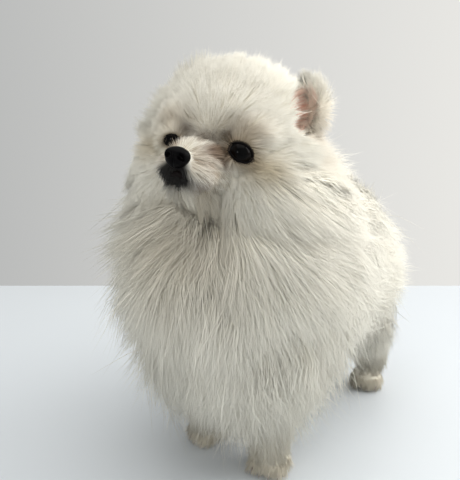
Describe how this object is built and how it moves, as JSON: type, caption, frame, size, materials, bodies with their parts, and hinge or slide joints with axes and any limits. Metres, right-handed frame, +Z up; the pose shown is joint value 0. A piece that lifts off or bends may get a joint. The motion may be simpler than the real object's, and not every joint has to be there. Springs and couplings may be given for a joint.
{
  "type": "pomeranian puppy",
  "caption": "Life-size still model of a standing white Pomeranian puppy with a full fluffy coat, head raised and turned.",
  "frame": {"origin": "on the floor, under the middle of the coat's box", "axes": "+Z up; the dog faces -Y and its left side is +X"},
  "size_m": [0.1485, 0.2335, 0.234],
  "materials": {
    "coat": "soft white fur",
    "face": "short white fur",
    "ear": "short fur over pinkish skin",
    "leather": "moist black nose leather",
    "eye": "wet dark brown eye"
  },
  "bodies": {
    "root": {"chest": "coat", "ear_left": "ear", "ear_right": "ear", "eye_left": "eye", "eye_right": "eye", "front_leg_left": "coat", "front_leg_right": "coat", "head": "coat", "hind_leg_left": "coat", "hind_leg_right": "coat", "lower_jaw": "face", "muzzle": "face", "neck": "coat", "nose": "leather", "tail": "coat", "torso": "coat"}
  },
  "joints": []
}
